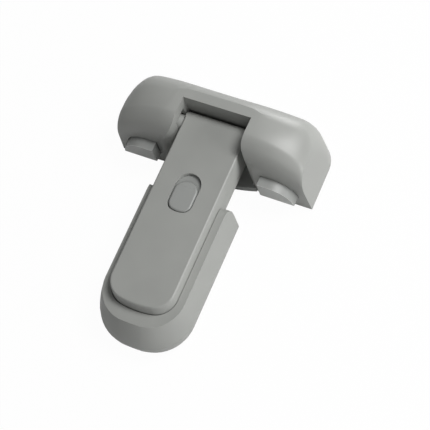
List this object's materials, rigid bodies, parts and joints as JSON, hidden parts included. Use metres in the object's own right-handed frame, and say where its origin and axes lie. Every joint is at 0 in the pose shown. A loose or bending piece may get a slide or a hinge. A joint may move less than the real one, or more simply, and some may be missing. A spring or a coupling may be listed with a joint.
{
  "type": "refrigerator lock",
  "caption": "T-shaped stick-on fridge door lock: a domed head holds a hinged strap arm whose free end snaps into a rounded base tray.",
  "frame": {"origin": "centre of the head's mounting face, on the surface it sticks to", "axes": "+Z away from the door, X along the head, the arm reaches along -Y from the head to the base"},
  "size_m": [0.106, 0.1351, 0.0417],
  "materials": {
    "grey_shell": "fine matte mould texture",
    "grey_button": "fine matte mould texture",
    "grey_plate": "plain moulded",
    "grey_inner": "plain moulded",
    "foam_tape": "foam tape with a film face",
    "spring_steel": "bright drawn steel",
    "screw_steel": "zinc plated"
  },
  "bodies": {
    "fixed_parts": {"head_cover": "grey_shell", "head_back_plate": "grey_plate", "head_adhesive_pad": "foam_tape", "head_screws": "screw_steel", "bolt_spring_left": "spring_steel", "bolt_spring_right": "spring_steel", "base_housing": "grey_shell", "base_back_plate": "grey_plate", "base_adhesive_pad": "foam_tape", "base_screws": "screw_steel", "strike_plate": "spring_steel", "strike_screws": "screw_steel"},
    "left_button": {"side_button_left": "grey_button"},
    "right_button": {"side_button_right": "grey_button"},
    "left_bolt": {"hinge_bolt_left": "grey_inner"},
    "right_bolt": {"hinge_bolt_right": "grey_inner"},
    "arm": {"arm_cover": "grey_shell", "arm_bottom_plate": "grey_plate", "arm_screws": "screw_steel", "release_spring": "spring_steel", "latch_hook": "grey_inner"},
    "thumb_slider": {"release_slider": "grey_button"}
  },
  "joints": [
    {"name": "left_button_push", "type": "slide", "parent": "fixed_parts", "child": "left_button", "axis": [0, 1, 0], "range_m": [0, 0.0035], "stiffness_N_per_m": 60, "springref_m": -0.004},
    {"name": "right_button_push", "type": "slide", "parent": "fixed_parts", "child": "right_button", "axis": [0, 1, 0], "range_m": [0, 0.0035], "stiffness_N_per_m": 60, "springref_m": -0.004},
    {"name": "left_bolt_slide", "type": "slide", "parent": "fixed_parts", "child": "left_bolt", "axis": [-1, 0, 0], "range_m": [0, 0.0035], "stiffness_N_per_m": 300, "springref_m": -0.003, "deforming": ["bolt_spring_left"]},
    {"name": "right_bolt_slide", "type": "slide", "parent": "fixed_parts", "child": "right_bolt", "axis": [1, 0, 0], "range_m": [0, 0.0035], "stiffness_N_per_m": 300, "springref_m": -0.003, "deforming": ["bolt_spring_right"]},
    {"name": "arm_hinge", "type": "hinge", "parent": "fixed_parts", "child": "arm", "pos_m": [0, -0.00545, 0.026], "axis": [-1, 0, 0], "range_deg": [0, 90], "deforming": ["latch_hook"]},
    {"name": "thumb_slider_slide", "type": "slide", "parent": "arm", "child": "thumb_slider", "axis": [0, 1, 0], "range_m": [0, 0.0035], "stiffness_N_per_m": 300, "springref_m": -0.003, "deforming": ["release_spring", "latch_hook"]}
  ],
  "couplings": [
    {"joint": "left_button_push", "follows": "left_bolt_slide", "ratio": 1},
    {"joint": "right_button_push", "follows": "right_bolt_slide", "ratio": 1}
  ]
}
